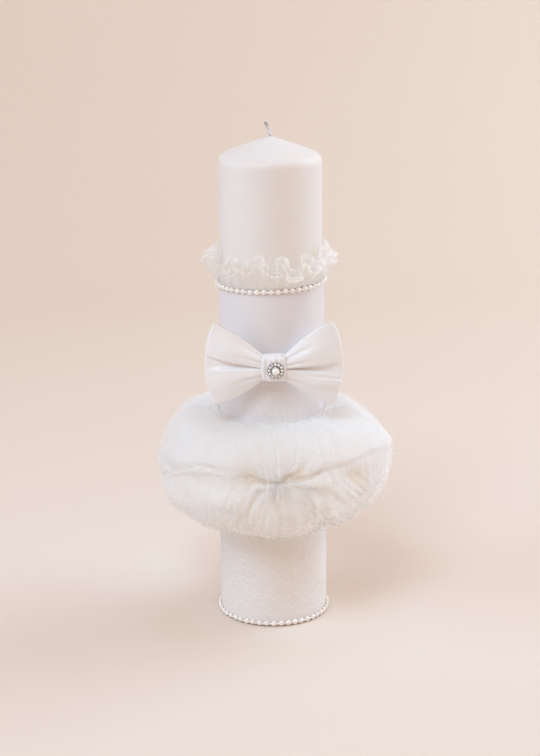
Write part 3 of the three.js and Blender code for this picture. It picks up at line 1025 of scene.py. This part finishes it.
# Big, middle, fine and finest folds: how many there are round the pouf and up it, and their depths.
FOLDS = [
    (22, 3, 1.7, 1.5, 0.8, 1.4, 0.5),
    (62, 2, 0.7, 0.7, 0.6, 0.8, 0.3),
    (150, 2, 0.45, 0.45, 0.4, 0.45, 0.15),
    (300, 2, 0.15, 0.15, 0.14, 0.15, 0.05),
]
PLEATS = [1.5, 1.7, 0.7, 0, 0]


def tulle_pouf():
    """Every strip of the pouf: full bodies, then sheer veils over them and a cascade of cut edges."""
    upper = tulle_sheet("tulle_upper_body", upper_keys(0.0), TULLE, 0.0)
    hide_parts("tulle_upper_puff")
    lower = tulle_sheet("tulle_lower_body", lower_keys(-1.0), TULLE, -1.0)
    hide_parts("tulle_lower_puff")
    for index, grow in enumerate((0.8, 1.6)):
        tulle_sheet(f"tulle_upper_veil_{index + 1}", upper_keys(grow), TULLE_VEIL, grow)
    for index, (grow, hold) in enumerate(((2.4, 0.0), (3.1, 0.15))):
        tulle_sheet(f"tulle_waist_veil_{index + 1}", waist_keys(grow, hold), TULLE_VEIL, grow, tied=False)
    tulle_sheet("tulle_loose_veil", waist_keys(4.6, 0.3), TULLE_HAZE, 4.6, tied=False, loose=1.6)
    for index, (grow, climb, frill) in enumerate(((-0.4, 7, 0), (0.3, 15, 0.6), (1.1, 24, 1.2))):
        name = f"tulle_lower_veil_{index + 1}"
        material = (TULLE_VEIL, TULLE_STRIP)[index % 2]
        tulle_sheet(name, lower_keys(grow, climb, drop=1.0 + index), material, grow, frill=frill)


def gather_rosette():
    """The short ends at the front gather: a small ruffled fan that stands out of the pinch."""
    columns, rows = 420, 18
    arc_radius = 62
    bearing = ring_angles(columns)
    t = np.linspace(0, 1, rows)[:, None]
    length = 6.5 + 2.0 * ring_noise(bearing, 0, 11, 1, 71) + 1.6 * np.cos(2 * bearing)
    spread = 0.8 + length * t
    ruffle = ring_noise(bearing, t * 0.4, 17, 3, 72) + 0.4 * ridges(ring_noise(bearing, t, 46, 2, 73))
    lift = 1.0 + 3.0 * np.sin(1.9 * t) + 1.3 * ruffle * t
    swirl = bearing + 0.35 * ring_noise(bearing, t, 17, 3, 74) * t
    _, crease_r, _ = crease_lines()
    radius = np.interp(math.degrees(PINCH_ANGLE), [0, 6], crease_r[:2]) + lift - 1.0
    sideways = PINCH_ANGLE + spread * np.cos(swirl) / arc_radius
    points = ring_points(radius, sideways, PINCH_Z + spread * np.sin(swirl))
    obj = grid_object("tulle_gather_ends", points, TULLE_STRIP, closed=True, size=(120, 9))
    finish_piece(obj, "tulle")


def gather_thread():
    """The tie: a few turns of thread wound tight round the middle of the tulle."""
    turns, steps = 5, 96
    t = np.arange(turns * steps + 1) / steps
    radius = (TIE_HIGH[0] - TIE_LOW[0]) / 2 - 1.9
    path = ring_points(radius + 0.25 * np.sin(t * 3), t * FULL_TURN, TIE_Z - 1.6 + 3.2 * t / turns)
    joined_piece("gather_thread", [tube_parts(path, 0.34, sides=8)], THREAD, "thread", "tulle_gather_tie")


# ---- Bow ----


def band(value, low, high, soft_low, soft_high):
    """One between low and high, easing to nothing over a soft edge on each side."""
    rise = np.clip((value - low) / soft_low + 0.5, 0, 1)
    fall = np.clip((high - value) / soft_high + 0.5, 0, 1)
    return ease(rise) * ease(fall)


def lobes(q, v, heights, pinches, pinch_end):
    """Full lobes of (height, middle, width), drawn in beside the knot by pinches of (middle, width)."""
    full = sum(height * hump(v, middle, width) for height, middle, width in heights)
    drawn = 1.2 * sum(hump(v, middle, width) for middle, width in pinches)
    return full * np.sin(np.pi * q**0.8) - drawn * eased(q, [0, 0.12, pinch_end], [0.5, 1, 0])


def left_relief(q, v):
    """Folds of the left loop's front, in millimetres towards the viewer: a pocket under a full lobe."""
    depth = eased(q, [0, 0.14, 0.45, 1], [0.8, 3.0, 3.8, 0.7])
    pocket = depth * band(v, 0.02 - 0.12 * q, 0.06 + 0.17 * q, 0.16, 0.08)
    pinches = ((0.45, 0.09), (-0.55, 0.1), (0.82, 0.08))
    return lobes(q, v, ((2.6, 0.5, 0.3), (2.6, -0.42, 0.36)), pinches, 0.7) - pocket


def right_relief(q, v):
    """Folds of the right loop's front: a crease that opens from the knot and a lower lobe folded under."""
    middle = -0.06 - 0.04 * q
    depth = eased(q, [0, 0.12, 0.45, 0.8, 1], [0.8, 3.8, 3.9, 2.4, 0.4])
    crease = depth * band(v, middle - 0.04 - 0.14 * q, middle + 0.04 + 0.08 * q, 0.12, 0.16)
    tuck = eased(q, [0.3, 0.65, 0.9, 1], [0, 1.4, 1.6, 0.9]) * band(v, -0.62, -0.34 - 0.06 * q, 0.3, 0.03)
    pinches = ((0.66, 0.09), (0.24, 0.07), (-0.72, 0.1))
    return lobes(q, v, ((2.6, 0.42, 0.4), (1.6, -0.62, 0.3)), pinches, 0.65) + tuck - crease


def bow_wing(side, relief):
    """One loop as a grid: out along the front, round the outer fold and back behind."""
    steps, across = 170, 151
    s = np.linspace(-1, 1, steps)[:, None]
    v = np.linspace(-1, 1, across)[None, :]
    fold = 0.05
    bulge = 6.5
    q = 1 + fold - np.sqrt(s**2 + fold**2)
    q = (q - q.min()) / (q.max() - q.min())
    face = -s / np.sqrt(s**2 + fold**2)
    front = np.clip(face, 0, 1)
    corner_x = (BOW_HIGH[0] - BOW_LOW[0]) / 2 - bulge
    wing_mid = (BOW_LOW[2] + BOW_HIGH[2]) / 2
    wing_half = (BOW_HIGH[2] - BOW_LOW[2]) / 2
    start_x = 6.6
    start_z = KNOT_CENTRE[2] + 8.3 * v
    end_x = corner_x + bulge * (1 - np.abs(v) ** 2.4)
    end_z = wing_mid + wing_half * v
    swell = np.where(v > 0, 3.4 if side > 0 else 2.2, 2.0)
    x = start_x + (end_x - start_x) * q
    z = start_z + (end_z - start_z) * q + swell * np.sin(np.pi * q**1.15) * v * np.abs(v)
    in_front = eased(q, [0, 0.07, 0.3, 0.6, 1], [5.2, 5.2, 4.2, 4.0, 1.9])
    fullness = np.where(s < 0, in_front, 0.6 * in_front)
    middle = KNOT_CENTRE[1] + 0.6
    y = middle - face * fullness * np.sqrt(1 - (0.975 * v) ** 2) - front * relief(q, v)
    points = np.stack(np.broadcast_arrays(BOW_X + side * x, y, z), axis=-1)
    return points if side > 0 else points[:, ::-1]


def bow_ribbon():
    """Both loops in one piece, as one length of satin makes them."""
    parts = []
    for side, relief in ((-1, left_relief), (1, right_relief)):
        points = bow_wing(side, relief)
        quads = grid_quads(*points.shape[:2])
        if side > 0:
            quads = quads[:, ::-1]
        parts.append((points.reshape(-1, 3), quads.tolist()))
    obj = joined_piece("bow_ribbon", parts, BOW_SATIN, "bow_satin", "bow_loops")
    solidify(obj, 0.35)


def knot_band():
    """The band round the waist: a rounded loop whose front carries soft lengthwise gathers."""
    around, across = 120, 41
    turn = ring_angles(around)[:, None]
    w = np.linspace(-1, 1, across)[None, :]
    half_x, half_y, half_z = (KNOT_HIGH - KNOT_LOW) / 2 - np.array([0.1, 0.4, 0.2])
    power = 0.62
    y_unit = np.sign(np.cos(turn)) * np.abs(np.cos(turn)) ** power
    z_unit = np.sign(np.sin(turn)) * np.abs(np.sin(turn)) ** power
    gathers = 0.45 * np.cos(w * 7.5 + 0.6) + 0.3 * np.cos(w * 14 - 1.0)
    crown = -1.3 * w**4
    grow = 1 + (gathers + crown) / 8
    y = KNOT_CENTRE[1] - half_y * y_unit * grow
    z = KNOT_CENTRE[2] + half_z * z_unit * (1 + crown / 12)
    x = KNOT_CENTRE[0] + half_x * w * (1 - 0.05 * np.abs(z_unit))
    points = np.stack(np.broadcast_arrays(x, y, z), axis=-1)
    obj = grid_object("knot_band", points, BOW_SATIN, closed_rows=True, size=(17, 62))
    finish_piece(obj, "bow_satin", "bow_knot")
    solidify(obj, 0.5)


# ---- Brooch: built with its face along +z, then turned to face -Y ----


def brooch_place(vertices):
    """Turns points so that +z points at the viewer, and sets them on the knot."""
    x, y, z = np.moveaxis(np.asarray(vertices, float), -1, 0)
    return np.stack([BROOCH_CENTRE[0] + x, BROOCH_BACK - z, BROOCH_CENTRE[2] + y], axis=-1)


def ball(radius, centre, around=12, up=8, squash=1.0):
    rise = np.linspace(-np.pi / 2, np.pi / 2, up + 1)
    profile = [(radius * math.cos(t), squash * radius * math.sin(t)) for t in rise]
    vertices, faces = lathe_parts(profile, around)
    return vertices + np.asarray(centre), faces


STONE_CIRCLE = 4.3
STONE_COUNT = 12


def stone_centre(index):
    return on_circle(STONE_CIRCLE, index / STONE_COUNT * FULL_TURN, 2.0)


def setting():
    """A silver cup: plate, beaded rim, a seat for the pearl and small claws between the stones."""
    rim = BROOCH_RADIUS
    plate = [(0, 0), (rim - 0.3, 0), (rim - 0.05, 0.3), (rim, 1.3), (rim - 0.15, 1.75), (rim - 0.45, 1.8),
             (rim - 0.6, 1.5), (rim - 0.65, 1.0), (2.7, 1.0), (2.5, 1.9), (2.2, 1.95), (2.05, 1.0), (0, 1.0)]
    parts = [lathe_parts(plate, 72)]
    parts += [ball(0.3, centre, 8, 6) for centre in on_circle(rim - 0.25, ring_angles(36), 1.85)]
    between_stones = ring_angles(2 * STONE_COUNT)[1::2]
    for reach in (3.45, 5.05):
        parts += [ball(0.27, claw, 8, 6, squash=2.4) for claw in on_circle(reach, between_stones, 1.7)]
    vertices, faces = joined(parts)
    joined_piece("brooch_cup", [(brooch_place(vertices), faces)], SILVER, "dark_silver", "brooch_setting")


def cut_stone(index):
    """A brilliant: table, star and kite facets over a girdle, and a foiled pavilion below."""
    girdle, table, crown, pavilion = 0.97, 0.52, 0.5, 0.75
    sides = 8
    angle = ring_angles(2 * sides) + 0.4 * index
    inner = on_circle(table, angle[::2], crown)
    middle = on_circle(0.78, angle[1::2], 0.6 * crown)
    outer = on_circle(girdle, angle, 0.08)
    vertices = np.vstack([inner, middle, outer, [[0, 0, -pavilion]]])
    culet = len(vertices) - 1
    faces = [list(range(sides))]
    for k in range(sides):
        k_next = (k + 1) % sides
        kite = sides + k
        rim = 2 * sides + 2 * k
        rim_next = 2 * sides + 2 * k_next
        faces += [[k, kite, k_next], [k, rim, kite], [k_next, kite, rim_next]]
        faces += [[kite, rim, rim + 1], [kite, rim + 1, rim_next]]
    crown_faces = len(faces)
    faces += [[2 * sides + (k + 1) % (2 * sides), 2 * sides + k, culet] for k in range(2 * sides)]
    vertices = brooch_place(vertices + stone_centre(index))
    obj = new_object(f"cut_stone_{index + 1:02d}", vertices, faces, CRYSTAL, smooth=False)
    obj.data.materials.append(FOIL)
    slots = [0] * crown_faces + [1] * (len(obj.data.polygons) - crown_faces)
    obj.data.polygons.foreach_set("material_index", slots)
    finish_piece(obj, "rhinestone", f"rhinestone_{index + 1:02d}")


def centre_pearl():
    radius = (BROOCH_PEARL_HIGH[0] - BROOCH_PEARL_LOW[0]) / 2 - 0.25
    height = BROOCH_BACK - (BROOCH_PEARL_LOW[1] + BROOCH_PEARL_HIGH[1]) / 2
    vertices, faces = ball(radius, (0, 0, height), 48, 28)
    joined_piece("centre_pearl", [(brooch_place(vertices), faces)], PEARL, "pearl", "brooch_pearl")


# ---- Stage ----


def backdrop_material():
    s = Shader("paper_sweep")
    tone = s.mix_colour(s.noise(400, detail=1), colour(0.80, 0.695, 0.615), colour(0.815, 0.715, 0.635))
    normal = s.bump(s.noise(1.5, detail=4), 0.05, 0.3)
    return s.principled({"Base Color": tone, "Roughness": 0.9, "Normal": normal})


def backdrop():
    """A sweep of pale paper: a floor that curves up into a wall far behind."""
    reach, bend_start, bend_radius, wall_top = 12000.0, 900.0, 900.0, 4000.0
    profile = [(-reach, 0.0)]
    for t in np.linspace(0, np.pi / 2, 24):
        profile.append((bend_start + bend_radius * math.sin(t), bend_radius - bend_radius * math.cos(t)))
    profile.append((bend_start + bend_radius, wall_top))
    points = np.array([[(x, y, z) for x in (-reach, reach)] for y, z in profile])
    grid_object("backdrop", points, backdrop_material())


def area_light(name, location, target, size, power, tint):
    data = bpy.data.lights.new(name, "AREA")
    data.shape = "RECTANGLE"
    data.size, data.size_y = size
    data.energy = power
    data.color = tint
    light = bpy.data.objects.new(name, data)
    light.location = location
    light.visible_camera = False
    direction = Vector(target) - Vector(location)
    light.rotation_euler = direction.to_track_quat("-Z", "Y").to_euler()
    bpy.context.scene.collection.objects.link(light)


def lighting():
    middle = (0, 0, 0.17)
    area_light("window", (1.7, 0.75, 1.3), middle, (1.5, 1.5), 26.7, (0.608, 0.821, 1.000))
    area_light("left", (-2.1, -0.7, 1.2), middle, (1.8, 1.8), 27.1, (0.392, 0.691, 1.000))
    area_light("low", (1.9, -0.1, 0.42), middle, (1.4, 0.8), 9.7, (0.471, 0.698, 1.000))
    area_light("high", (-0.5, -1.5, 2.0), middle, (1.0, 1.0), 27.8, (0.547, 0.769, 1.000))
    area_light("top", (0.1, 0.25, 1.7), middle, (0.7, 0.7), 3.6, (0.297, 0.588, 1.000))
    world = bpy.data.worlds.new("studio")
    world.use_nodes = True
    background = world.node_tree.nodes["Background"]
    background.inputs["Color"].default_value = (1.000, 0.560, 0.160, 1)
    background.inputs["Strength"].default_value = 0.571
    scene = bpy.context.scene
    scene.world = world
    scene.view_settings.view_transform = "Standard"
    scene.cycles.max_bounces = 16
    scene.cycles.diffuse_bounces = 14
    scene.cycles.transparent_max_bounces = 32


# ---- The whole candle ----

wax_body()
wick_braid()
sustainer_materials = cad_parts["wick_sustainer"].data.materials
sustainer_materials.clear()
sustainer_materials.append(TIN)
satin_sleeve()
lace_band()
organza_frill()
base_z = (BASE_TRIM_LOW[2] + BASE_TRIM_HIGH[2]) / 2
top_z = (TOP_TRIM_LOW[2] + TOP_TRIM_HIGH[2]) / 2
pearl_string("top_pearls", "top_pearl_trim", SATIN_RADIUS, top_z, TRIM_SLOPE, 31)
pearl_string("base_pearls", "base_pearl_trim", LACE_RADIUS, base_z, 0.0, 32)
tulle_pouf()
gather_rosette()
gather_thread()
bow_ribbon()
knot_band()
setting()
centre_pearl()
for stone in range(STONE_COUNT):
    cut_stone(stone)
backdrop()
lighting()
